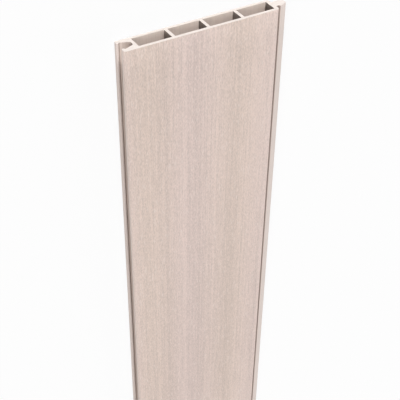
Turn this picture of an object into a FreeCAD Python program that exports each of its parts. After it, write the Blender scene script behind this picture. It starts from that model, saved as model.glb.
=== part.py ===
import FreeCAD, Part
import os
from math import sin, tan

# Composite fence board: one extruded length of hollow wood-plastic profile, in millimetres.
# It lies on its back face at Z = 0 with its show face up. X runs along the board, Y across it.
# The edge at -Y has the groove, and the edge at +Y has the tongue that snaps into the next groove.

# The board as it is sold and laid
length = 1800.0
cover_width = 155.0         # from one board to the next, once they are joined
thickness = 20.0

# The hollow middle
chamber_count = 4
web = 3.1                   # upright wall between two chambers
groove_wall = 2.8           # upright wall behind the groove
shoulder_wall = 3.95        # upright wall that carries the tongue
face_wall = 3.0             # wall under the show face
back_wall = 2.85
chamber_radius = 0.8
show_edge_radius = 3.0      # both long edges of the show face
back_edge_radius = 0.6

# The joint's middle lies a little nearer the back, so that the lip on the show side is the thicker one
joint_drop = 0.35

# The groove: insets are measured from the front lip's tip, halves from the joint's middle
groove_depth = 12.3
floor_half = 2.5
floor_radius = 2.3
throat_inset = 8.0          # foot of the slope that leads from the pocket down to the floor
throat_half = 4.3
throat_radius = 3.0
pocket_inset = 3.5          # middle of the pocket that a barb of the tongue snaps into
pocket_length = 0.5
pocket_half = 5.95
bead_inset = 2.2            # inner side of the bead along each lip's mouth
bead_rise = 1.3             # how far the bead stands in from the pocket
bead_radius = 0.2

# The lips
lead = 0.8                  # bevel that leads the tongue in past a bead
back_setback = 0.3          # the back lip is a little shorter than the front one
back_lip_radius = 1.5
lip_radius = 0.3

# The tongue, made to the groove of the next board
joint_gap = 0.5             # between the front lip's tip and the shoulder beside the tongue
flank_clearance = 0.3
end_clearance = 0.7
neck_half = 4.0             # the tongue behind its barbs
neck_radius = 0.5
barb_run = 1.6              # how far a barb's inner side slants outwards
barb_radius = 0.4
waist_radius = 6.0
tongue_tip_half = 2.2
tongue_tip_radius = 1.5

joint_middle = thickness / 2 - joint_drop
bead_half = pocket_half - bead_rise
body_width = cover_width - joint_gap - groove_depth
chamber_span = body_width - groove_wall - shoulder_wall
chamber_width = (chamber_span - (chamber_count - 1) * web) / chamber_count
tongue_reach = joint_gap + groove_depth - end_clearance
overall_width = groove_depth + body_width + tongue_reach

lip_tip = -overall_width / 2
back_lip_tip = lip_tip + back_setback
groove_floor = lip_tip + groove_depth
first_chamber = groove_floor + groove_wall
shoulder = groove_floor + body_width
tongue_tip = shoulder + tongue_reach
next_lip_tip = shoulder + joint_gap


def rounded_wire(corners):
    """A closed outline through corners (y, z, radius), each rounded by an arc of its radius."""
    points = [FreeCAD.Vector(-length / 2, y, z) for y, z, _ in corners]
    starts, tops, ends = [], [], []
    for i, point in enumerate(points):
        radius = corners[i][2]
        before = (points[i - 1] - point).normalize()
        after = (points[(i + 1) % len(points)] - point).normalize()
        half_angle = before.getAngle(after) / 2
        starts.append(point + before * (radius / tan(half_angle)))
        ends.append(point + after * (radius / tan(half_angle)))
        inward = (before + after).normalize()
        tops.append(point + inward * (radius / sin(half_angle) - radius))
    edges = []
    for i in range(len(points)):
        edges.append(Part.Arc(starts[i], tops[i], ends[i]).toShape())
        edges.append(Part.LineSegment(ends[i], starts[(i + 1) % len(points)]).toShape())
    return Part.Wire(edges)


def show_side(half_outline):
    """Corners (y, distance from the joint's middle, radius) on the show face's side of it."""
    return [(y, joint_middle + half, radius) for y, half, radius in half_outline]


def back_side(half_outline):
    """The same on the back's side."""
    return [(y, joint_middle - half, radius) for y, half, radius in half_outline]


def groove_side(tip):
    """One side of the groove, from a lip's tip in to the floor."""
    return [
        (tip, bead_half + lead, lip_radius),
        (tip + lead, bead_half, bead_radius),
        (lip_tip + bead_inset, bead_half, bead_radius),
        (lip_tip + pocket_inset - pocket_length / 2, pocket_half, bead_radius),
        (lip_tip + pocket_inset + pocket_length / 2, pocket_half, bead_radius),
        (lip_tip + throat_inset, throat_half, throat_radius),
        (groove_floor, floor_half, floor_radius),
    ]


def tongue_side():
    """One side of the tongue, from the shoulder out to the tip. Its barb lies in the pocket."""
    barb = next_lip_tip + pocket_inset
    return [
        (shoulder, neck_half, neck_radius),
        (barb - barb_run, neck_half, neck_radius),
        (barb, pocket_half - flank_clearance, barb_radius),
        (next_lip_tip + throat_inset, throat_half - flank_clearance, waist_radius),
        (tongue_tip, tongue_tip_half, tongue_tip_radius),
    ]


def board_outline():
    back = [(back_lip_tip, 0, back_lip_radius), (shoulder, 0, back_edge_radius)]
    tongue = back_side(tongue_side()) + show_side(tongue_side()[::-1])
    face = [(shoulder, thickness, show_edge_radius), (lip_tip, thickness, show_edge_radius)]
    groove = show_side(groove_side(lip_tip)) + back_side(groove_side(back_lip_tip)[::-1])
    return rounded_wire(back + tongue + face + groove)


def chamber_outline(number):
    left = first_chamber + number * (chamber_width + web)
    right = left + chamber_width
    top = thickness - face_wall
    corners = [(left, back_wall), (right, back_wall), (right, top), (left, top)]
    return rounded_wire([(y, z, chamber_radius) for y, z in corners])


def fence_board():
    chambers = [chamber_outline(number) for number in range(chamber_count)]
    section = Part.makeFace([board_outline()] + chambers, "Part::FaceMakerBullseye")
    return section.extrude(FreeCAD.Vector(length, 0, 0))


os.makedirs("parts", exist_ok=True)
fence_board().exportStep("parts/fence_board.step")
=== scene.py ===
from math import ceil, pi, radians, sin, tan

import bpy
from mathutils import Matrix, Vector, noise
from mathutils.geometry import tessellate_polygon


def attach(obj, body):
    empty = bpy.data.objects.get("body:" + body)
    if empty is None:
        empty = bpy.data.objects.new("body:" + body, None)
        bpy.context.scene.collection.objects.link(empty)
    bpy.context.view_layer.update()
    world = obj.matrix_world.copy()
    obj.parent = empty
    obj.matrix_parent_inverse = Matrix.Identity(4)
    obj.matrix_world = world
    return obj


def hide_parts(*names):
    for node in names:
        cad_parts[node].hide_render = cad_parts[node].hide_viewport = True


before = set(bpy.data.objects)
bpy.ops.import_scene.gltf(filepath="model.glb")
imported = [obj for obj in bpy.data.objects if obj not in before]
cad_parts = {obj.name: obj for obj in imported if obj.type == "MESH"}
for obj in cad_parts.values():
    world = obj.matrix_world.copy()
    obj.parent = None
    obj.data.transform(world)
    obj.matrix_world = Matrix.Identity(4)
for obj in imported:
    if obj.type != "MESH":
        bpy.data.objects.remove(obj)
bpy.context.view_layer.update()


# The board: one length of wood-plastic composite, pushed hot through a die and sawn off at both ends.
# Its section has four closed chambers, a groove between two lips along one edge, and a barbed tongue
# along the other that snaps into the next board's groove. It lies on its back with its show face up.
mm = 0.001
length = 1800 * mm
cover_width = 155 * mm
thickness = 20 * mm
chamber_count = 4
web = 3.1 * mm
groove_wall = 2.8 * mm
shoulder_wall = 3.95 * mm
face_wall = 3 * mm
back_wall = 2.85 * mm
chamber_radius = 0.8 * mm
show_edge_radius = 3 * mm
back_edge_radius = 0.6 * mm
joint_drop = 0.35 * mm          # the joint's middle lies this much nearer the back
groove_depth = 12.3 * mm
floor_half = 2.5 * mm           # halves are measured from the joint's middle
floor_radius = 2.3 * mm
throat_inset = 8 * mm           # insets are measured from the front lip's tip
throat_half = 4.3 * mm
throat_radius = 3 * mm
pocket_inset = 3.5 * mm         # the pocket takes a barb of the next board's tongue
pocket_length = 0.5 * mm
pocket_half = 5.95 * mm
bead_inset = 2.2 * mm
bead_rise = 1.3 * mm            # how far the bead along a lip's mouth stands in from the pocket
bead_radius = 0.2 * mm
lead = 0.8 * mm                 # bevel that leads the tongue in past a bead
back_setback = 0.3 * mm         # the back lip is a little shorter
back_lip_radius = 1.5 * mm
lip_radius = 0.3 * mm
joint_gap = 0.5 * mm
flank_clearance = 0.3 * mm
end_clearance = 0.7 * mm
neck_half = 4 * mm              # the tongue behind its barbs
neck_radius = 0.5 * mm
barb_run = 1.6 * mm             # how far a barb's inner side slants outwards
barb_radius = 0.4 * mm
waist_radius = 6 * mm
tongue_tip_half = 2.2 * mm
tongue_tip_radius = 1.5 * mm

joint_middle = thickness / 2 - joint_drop
bead_half = pocket_half - bead_rise
body_width = cover_width - joint_gap - groove_depth
chamber_span = body_width - groove_wall - shoulder_wall
chamber_width = (chamber_span - (chamber_count - 1) * web) / chamber_count
tongue_reach = joint_gap + groove_depth - end_clearance
lip_tip = -(groove_depth + body_width + tongue_reach) / 2
back_lip_tip = lip_tip + back_setback
groove_floor = lip_tip + groove_depth
first_chamber = groove_floor + groove_wall
shoulder = groove_floor + body_width
tongue_tip = shoulder + tongue_reach
next_lip_tip = shoulder + joint_gap

brush_pitch = 0.45 * mm         # between the points across the brushed face
skin_pitch = 1.2 * mm           # and round the rest of the section
station_pitch = 25 * mm         # between the rings of points along the board
arc_step = radians(10)
crease_angle = radians(28)
slack = 0.1 * mm                # allowed where a point is compared with a size


def rounded_outline(corners):
    """Points through corners (y, z, radius), with an arc at each corner and each run divided."""
    arcs = []
    for i, (y, z, radius) in enumerate(corners):
        corner = Vector((y, z))
        before = (Vector(corners[i - 1][:2]) - corner).normalized()
        after = (Vector(corners[(i + 1) % len(corners)][:2]) - corner).normalized()
        half_angle = before.angle(after) / 2
        middle = corner + (before + after).normalized() * (radius / sin(half_angle))
        spoke = corner + before * (radius / tan(half_angle)) - middle
        turn = pi - 2 * half_angle
        if before.x * after.y > before.y * after.x:
            turn = -turn
        steps = max(2, ceil(abs(turn) / arc_step))
        arcs.append([middle + Matrix.Rotation(turn * k / steps, 2) @ spoke for k in range(steps + 1)])
    points = []
    for arc, next_arc in zip(arcs, arcs[1:] + arcs[:1]):
        start, end = arc[-1], next_arc[0]
        on_face = min(start.y, end.y) > thickness - slack
        runs = ceil((end - start).length / (brush_pitch if on_face else skin_pitch))
        points += arc + [start.lerp(end, k / runs) for k in range(1, runs)]
    return points


def groove_side(tip, side):
    """One side of the groove, from a lip's tip to the floor: 1 is the show face's side, -1 the back's."""
    halves = [
        (tip, bead_half + lead, lip_radius),
        (tip + lead, bead_half, bead_radius),
        (lip_tip + bead_inset, bead_half, bead_radius),
        (lip_tip + pocket_inset - pocket_length / 2, pocket_half, bead_radius),
        (lip_tip + pocket_inset + pocket_length / 2, pocket_half, bead_radius),
        (lip_tip + throat_inset, throat_half, throat_radius),
        (groove_floor, floor_half, floor_radius),
    ]
    return [(y, joint_middle + side * half, radius) for y, half, radius in halves]


def tongue_side(side):
    """One side of the tongue, from the shoulder out to the tip."""
    barb = next_lip_tip + pocket_inset
    halves = [
        (shoulder, neck_half, neck_radius),
        (barb - barb_run, neck_half, neck_radius),
        (barb, pocket_half - flank_clearance, barb_radius),
        (next_lip_tip + throat_inset, throat_half - flank_clearance, waist_radius),
        (tongue_tip, tongue_tip_half, tongue_tip_radius),
    ]
    return [(y, joint_middle + side * half, radius) for y, half, radius in halves]


def board_outline():
    """The whole section's outline, with the material on its left all the way round."""
    back = [(back_lip_tip, 0, back_lip_radius), (shoulder, 0, back_edge_radius)]
    tongue = tongue_side(-1) + tongue_side(1)[::-1]
    face = [(shoulder, thickness, show_edge_radius), (lip_tip, thickness, show_edge_radius)]
    groove = groove_side(lip_tip, 1) + groove_side(back_lip_tip, -1)[::-1]
    return rounded_outline(back + tongue + face + groove)


def chamber_outline(number):
    """A chamber's outline, run the other way, so that the material is on its left too."""
    left = first_chamber + number * (chamber_width + web)
    right = left + chamber_width
    top = thickness - face_wall
    corners = [(left, top), (right, top), (right, back_wall), (left, back_wall)]
    return rounded_outline([(y, z, chamber_radius) for y, z in corners])


def into_material(outline):
    """For each point of an outline, the direction square to it that leads into the material."""
    found = []
    for i in range(len(outline)):
        along = (outline[(i + 1) % len(outline)] - outline[i - 1]).normalized()
        found.append(Vector((-along.y, along.x)))
    return found


def is_brushed(point):
    """Whether a point of the outline is on the face that the brush reaches, rounded edges included."""
    return point.y > thickness - show_edge_radius + slack / 2


brushed_depth = 0.022 * mm      # how deep the brushed face lies on average
scratch_length, scratch_width, scratch_depth = 90 * mm, 0.9 * mm, 0.018 * mm
furrow_length, furrow_width, furrow_depth = 260 * mm, 2.6 * mm, 0.012 * mm
die_line_width, die_line_depth = 3 * mm, 0.008 * mm


def relief(x, point):
    """How deep the skin lies: shallow scratches on the brushed face, faint die lines everywhere else."""
    if is_brushed(point):
        scratch = noise.noise(Vector((x / scratch_length, point.x / scratch_width, 3.1)))
        furrow = noise.noise(Vector((x / furrow_length, point.x / furrow_width, 7.7)))
        return brushed_depth + scratch_depth * scratch + furrow_depth * furrow
    across = point / die_line_width
    return die_line_depth * (1 + noise.noise(Vector((0.5, *across))))


chip_size, wear_size = 0.8 * mm, 7 * mm
edge_setback, chip_setback, wear_setback = 0.16 * mm, 0.13 * mm, 0.06 * mm
edge_break, chip_break = 0.07 * mm, 0.04 * mm


def sawn_edge(point, end):
    """How far the saw has broken the edge at a point: its set-back along the board and into the wall."""
    chip = noise.noise(Vector((*(point / chip_size), end * 9.3)))
    wear = noise.noise(Vector((*(point / wear_size), end * 4.1)))
    return edge_setback + chip_setback * chip + wear_setback * wear, edge_break + chip_break * chip


loops = [board_outline()] + [chamber_outline(number) for number in range(chamber_count)]
inwards = [into_material(loop) for loop in loops]
stations = [station_pitch * k - length / 2 for k in range(1, round(length / station_pitch))]
places = [-length / 2] * 2 + stations + [length / 2] * 2
vertices, rings = [], []
for k, x in enumerate(places):
    end = -1 if k < 2 else 1
    at_cut = k in (0, len(places) - 1)
    at_edge = k in (1, len(places) - 2)
    ring = []
    for loop, inward in zip(loops, inwards):
        ring.append(range(len(vertices), len(vertices) + len(loop)))
        for point, into in zip(loop, inward):
            setback, broken = sawn_edge(point, end)
            deep = relief(x, point) + (broken if at_cut else 0)
            place = point + into * deep
            vertices.append((x - end * setback if at_edge else x, place.x, place.y))
    rings.append(ring)

# The finishes of the groove, its slope, the notches and the webs' sides carry painted shade.
brushed, sanded, groove_shade, slope_shade, notch_shade, chamber_wall, web_side_shade, sawn = range(8)
slope_end = 5.8 * mm            # inset at which the groove's paler slope ends
notch_half = 3 * mm


def skin_finish(number, start, end):
    """The finish between two points of an outline: loop 0 is the outside, and the others are chambers."""
    if number > 0:
        # Upright chamber walls, the webs' sides, take a far darker finish: painted shade.
        upright = abs(end.y - start.y) > abs(end.x - start.x)
        return web_side_shade if upright else chamber_wall
    middle = (start + end) / 2
    if is_brushed(middle):
        return brushed
    off_middle = abs(middle.y - joint_middle)
    # Inside the groove the finish is darker, a little less on the slope: painted shade.
    if lip_tip + bead_inset < middle.x < groove_floor + slack and off_middle < pocket_half:
        on_slope = pocket_inset + pocket_length / 2 < middle.x - lip_tip < slope_end
        return slope_shade if on_slope else groove_shade
    # The notch beside the tongue's barb takes a darker finish: painted shade.
    before_barb = shoulder - slack < middle.x < next_lip_tip + pocket_inset - 2 * slack
    return notch_shade if before_barb and off_middle > notch_half else sanded


faces, finishes = [], []
for k, (ring, next_ring) in enumerate(zip(rings, rings[1:])):
    broken = k in (0, len(rings) - 2)
    for number, (loop, near, far) in enumerate(zip(loops, ring, next_ring)):
        for i in range(len(loop)):
            j = (i + 1) % len(loop)
            faces.append((near[i], near[j], far[j], far[i]))
            finishes.append(sawn if broken else skin_finish(number, loop[i], loop[j]))
for ring, end in ((rings[0], -1), (rings[-1], 1)):
    cut = [[(0, *vertices[v][1:]) for v in loop] for loop in ring]
    numbers = [v for loop in ring for v in loop]
    for triangle in tessellate_polygon(cut):
        a, b, c = [Vector(vertices[numbers[v]][1:]) for v in triangle]
        turned = (b - a).x * (c - a).y - (b - a).y * (c - a).x
        corner_order = triangle if turned * end > 0 else triangle[::-1]
        faces.append([numbers[v] for v in corner_order])
        finishes.append(sawn)

mesh = bpy.data.meshes.new("fence_board_skin")
mesh.from_pydata(vertices, [], faces)
mesh.polygons.foreach_set("material_index", finishes)
mesh.shade_smooth()
mesh.set_sharp_from_angle(angle=crease_angle)
board = bpy.data.objects.new("fence_board_skin", mesh)
bpy.context.scene.collection.objects.link(board)
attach(board, "root")
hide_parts("fence_board")


# The show face's finish: the skin of the extrusion is worn off by steel brushes that run along the
# board. They leave full-length bands and fine lines, short scratches in the wood flour, and a few
# paler fibres, all matt.
class Shade:
    """One socket of a finish. Arithmetic on it adds the Math nodes that work it out."""

    def __init__(self, tree, socket=None):
        self.tree = tree
        self.socket = socket

    def give(self, made, sockets):
        """Sets the values of a node's sockets, or links them."""
        for name, given in sockets.items():
            if isinstance(given, Shade):
                self.tree.links.new(given.socket, made.inputs[name])
            else:
                made.inputs[name].default_value = given

    def node(self, kind, settings, sockets, output=0):
        """Adds a node: its settings first, and then what goes into its sockets."""
        made = self.tree.nodes.new("ShaderNode" + kind)
        for name, setting in settings.items():
            setattr(made, name, setting)
        self.give(made, sockets)
        return Shade(self.tree, made.outputs[output])

    def math(self, operation, *numbers):
        return self.node("Math", {"operation": operation}, dict(enumerate(numbers)))

    def __add__(self, other):
        return self.math("ADD", self, other)

    __radd__ = __add__

    def __sub__(self, other):
        return self.math("SUBTRACT", self, other)

    def __rsub__(self, other):
        return self.math("SUBTRACT", other, self)

    def __mul__(self, other):
        return self.math("MULTIPLY", self, other)

    __rmul__ = __mul__

    def colours(self, low, high):
        """The colour between two, as this number goes from 0 to 1."""
        return self.node("Mix", {"data_type": "RGBA"}, {0: self, 6: low, 7: high}, 2)

    def grain(self, sizes, detail=0.0, offset=0.0):
        """Noise about 0 over this place, with patches of these sizes along X, Y and Z."""
        scaled = self.node(
            "VectorMath",
            {"operation": "MULTIPLY_ADD"},
            {0: self, 1: [1 / size for size in sizes], 2: (offset, offset, offset)},
        )
        return self.node("TexNoise", {}, {"Vector": scaled, "Scale": 1, "Detail": detail}) - 0.5

    def above(self, low, high):
        """0 up to low, 1 from high on, and smooth between them."""
        spread = {"From Min": low, "From Max": high}
        return self.node("MapRange", {"interpolation_type": "SMOOTHSTEP"}, {"Value": self, **spread})


def new_finish(name):
    """A material, its shader, and the start of its nodes: the place on the board."""
    made = bpy.data.materials.new(name)
    made.use_nodes = True
    shader = made.node_tree.nodes["Principled BSDF"]
    place = Shade(made.node_tree).node("TexCoord", {}, {}, 3)
    return made, shader, place


def tinted(colour, share):
    """A colour made lighter or darker."""
    return [channel * share for channel in colour] + [1]


pinker = (0.672, 0.546, 0.518)
yellower = (0.672, 0.550, 0.466)
pale_fibre = (0.80, 0.70, 0.65, 1)
worn_contrast = 0.16

brushed_composite, shader, place = new_finish("brushed_composite")
bands = place.grain((2.5, 0.024, 0.024), detail=1, offset=350.55)
patches = place.grain((0.3, 0.12, 0.12), offset=21)
lines = place.grain((0.9, 0.0021, 0.0021), detail=1, offset=5)
scratches = place.grain((0.03, 0.0007, 0.0007), detail=2, offset=9)
flour = place.grain((0.0024, 0.0006, 0.0006), detail=1, offset=11)
fibres = place.grain((0.005, 0.0007, 0.0007), offset=17).above(0.19, 0.27)
warmth = 0.5 + place.grain((6, 0.06, 0.06), offset=107.95)
tone = 0.5 + 0.85 * bands - 0.4 * patches + 0.6 * lines + scratches + 1.9 * flour
darker, lighter = [
    warmth.colours(tinted(pinker, share), tinted(yellower, share))
    for share in (1 - worn_contrast, 1 + worn_contrast)
]
worn = tone.colours(darker, lighter)
depth = 0.5 * lines + scratches + 0.6 * flour - 0.3 * fibres
bump = place.node("Bump", {}, {"Strength": 0.5, "Distance": 0.00008, "Height": depth})
place.give(shader, {
    "Base Color": (0.6 * fibres).colours(worn, pale_fibre),
    "Roughness": 0.78 + 0.15 * (scratches + flour),
    "Normal": bump,
})


# The back, the tongue and the lips: lightly sanded all along after the die, so they are as pale as the
# face and matt, but with full-length die lines and a faint mottle of wood flour and no brush marks.
skin_contrast = 0.14


def extruded_finish(name, colour, roughness):
    """The finish of skin that no brush has worn, in a colour and roughness of its own."""
    made, shader, place = new_finish(name)
    die_lines = place.grain((4.0, 0.0012, 0.0012), detail=1, offset=2)
    bands = place.grain((3.0, 0.02, 0.02), detail=1, offset=4)
    mottle = place.grain((0.004, 0.0022, 0.0022), detail=2, offset=8)
    tone = 0.5 + 0.5 * die_lines + 0.4 * bands + 0.5 * mottle
    height = die_lines + 0.4 * mottle
    bump = place.node("Bump", {}, {"Strength": 0.35, "Distance": 0.00005, "Height": height})
    place.give(shader, {
        "Base Color": tone.colours(tinted(colour, 1 - skin_contrast), tinted(colour, 1 + skin_contrast)),
        "Roughness": roughness + 0.25 * mottle,
        "Normal": bump,
    })
    return made


sanded_composite = extruded_finish("sanded_composite", (0.72, 0.62, 0.57), roughness=0.7)


# In the groove, the notches beside the tongue and the chambers, where no brush or belt reaches, the
# skin is as it left the die: closed and a little waxy, with the same die lines. Its tones are matched
# to the photo and are painted shade: a little on the groove's slope, more in the groove and the notches,
# and most on the webs' sides, which little light reaches.
# The groove's inside and, lighter, its slope: darker copies of the skin's colour, painted shade.
groove_painted_shade = extruded_finish("groove_painted_shade", (0.50, 0.408, 0.36), roughness=0.5)
slope_painted_shade = extruded_finish("slope_painted_shade", (0.62, 0.52, 0.465), roughness=0.5)
# The notches beside the tongue: a darker copy of the skin's colour, painted shade.
notch_painted_shade = extruded_finish("notch_painted_shade", (0.43, 0.34, 0.30), roughness=0.5)
chamber_composite = extruded_finish("chamber_composite", (0.69, 0.59, 0.53), roughness=0.5)
# The webs' sides: a far darker copy of the chamber walls' colour, painted shade.
web_painted_shade = extruded_finish("web_painted_shade", (0.205, 0.17, 0.148), roughness=0.5)


# The sawn ends: a fine-toothed blade has cut through skin and core, so they are paler and rough, with
# the blade's arcs across them and light and dark grains of wood flour. Their edges are a little chipped.
# Their colour is partly the fresh cut's own paler tone and partly painted light.
sawn_composite_with_painted_light, shader, place = new_finish("sawn_composite_with_painted_light")
# Paler than the skin: partly the cut's own tone, partly painted light.
cut_colour_and_painted_light = (0.81, 0.733, 0.683)
cut_contrast = 0.1
blade_middle = (0, 0.02, -0.13)
saw_mark_width = 0.625 * mm
from_blade = place.node("VectorMath", {"operation": "DISTANCE"}, {0: place, 1: blade_middle}, 1)
saw_marks = from_blade.node("TexNoise", {"noise_dimensions": "1D"}, {
    "W": from_blade * (1 / saw_mark_width), "Scale": 1, "Detail": 1,
}) - 0.5
flour = place.grain((0.0006, 0.0006, 0.0006), detail=2, offset=3)
tone = 0.5 + 0.8 * saw_marks + 1.2 * flour
bump = place.node("Bump", {}, {"Strength": 0.6, "Distance": 0.0001, "Height": saw_marks + flour})
place.give(shader, {
    "Base Color": tone.colours(tinted(cut_colour_and_painted_light, 1 - cut_contrast), tinted(cut_colour_and_painted_light, 1 + cut_contrast)),
    "Roughness": 0.9 + 0.1 * flour,
    "Normal": bump,
})

for finish in (brushed_composite, sanded_composite, groove_painted_shade, slope_painted_shade,
               notch_painted_shade, chamber_composite, web_painted_shade, sawn_composite_with_painted_light):
    mesh.materials.append(finish)


# The studio floor: a plain white sheet that the board lies on. The camera sees it near white, with the
# board's soft shadow kept, and it throws plain white light back up.
floor_size = 9.0
whiteness = 0.92                # share of plain white in what the camera sees of it
bpy.ops.mesh.primitive_plane_add(size=floor_size, location=(0, 0, 0))
floor = bpy.context.object
floor.name = "studio_floor"
paper = bpy.data.materials.new("white_paper")
paper.use_nodes = True
paper_nodes = Shade(paper.node_tree)
matt = paper_nodes.node("BsdfDiffuse", {}, {"Color": (0.8, 0.8, 0.8, 1)})
white = paper_nodes.node("Emission", {}, {"Color": (1, 1, 1, 1), "Strength": 1})
seen = paper_nodes.node("LightPath", {}, {})
sheet = paper_nodes.node("MixShader", {}, {0: whiteness * seen, 1: matt, 2: white})
paper_nodes.give(paper.node_tree.nodes["Material Output"], {"Surface": sheet})
floor.data.materials.append(paper)


# The light: a soft key before the sawn end, almost in line with the board, so that it reaches the back
# walls of the chambers and not the webs. A wider fill shines into the groove, another comes over the far
# end on the tongue's side, and the room is a dim white.
def soft_lamp(name, towards, strength, spread):
    """A lamp that shines evenly on the whole board from the direction given, spread degrees wide."""
    lamp = bpy.data.lights.new(name, "SUN")
    lamp.energy = strength
    lamp.angle = radians(spread)
    made = bpy.data.objects.new(name, lamp)
    made.rotation_euler = Vector(towards).to_track_quat("Z", "Y").to_euler()
    bpy.context.scene.collection.objects.link(made)


soft_lamp("key", (-0.88, 0.05, 0.47), strength=2.42, spread=16)
soft_lamp("groove_fill", (-0.06, -0.72, 0.69), strength=1.65, spread=24)
soft_lamp("tongue_fill", (0.5, 0.8, 0.35), strength=1.15, spread=30)

room = bpy.data.worlds.new("white_room")
bpy.context.scene.world = room
room.use_nodes = True
room_nodes = Shade(room.node_tree)
seen = room_nodes.node("LightPath", {}, {})
room_light = 0.13
room_nodes.give(room.node_tree.nodes["Background"], {
    "Color": (1, 1, 1, 1),
    "Strength": room_light + (1 - room_light) * seen,
})


# The camera looks down on the near end and the show face, with the picture turned so that the board
# runs away from its sawn end towards the picture's foot.
camera_data = bpy.data.cameras.new("camera")
camera_data.sensor_width = 36
camera_data.lens = 83.505
camera_data.clip_start = 0.01
camera = bpy.data.objects.new("camera", camera_data)
bpy.context.scene.collection.objects.link(camera)
bpy.context.scene.camera = camera
eye = Vector((-1.28310, -0.37326, 0.62316))
right = Vector((-0.010800, 0.860407, 0.509494))
forward = Vector((0.627867, 0.402393, -0.666231))
axes = Matrix((right, right.cross(forward), -forward)).transposed().to_4x4()
camera.matrix_world = Matrix.Translation(eye) @ axes

bpy.context.scene.view_settings.view_transform = "Standard"
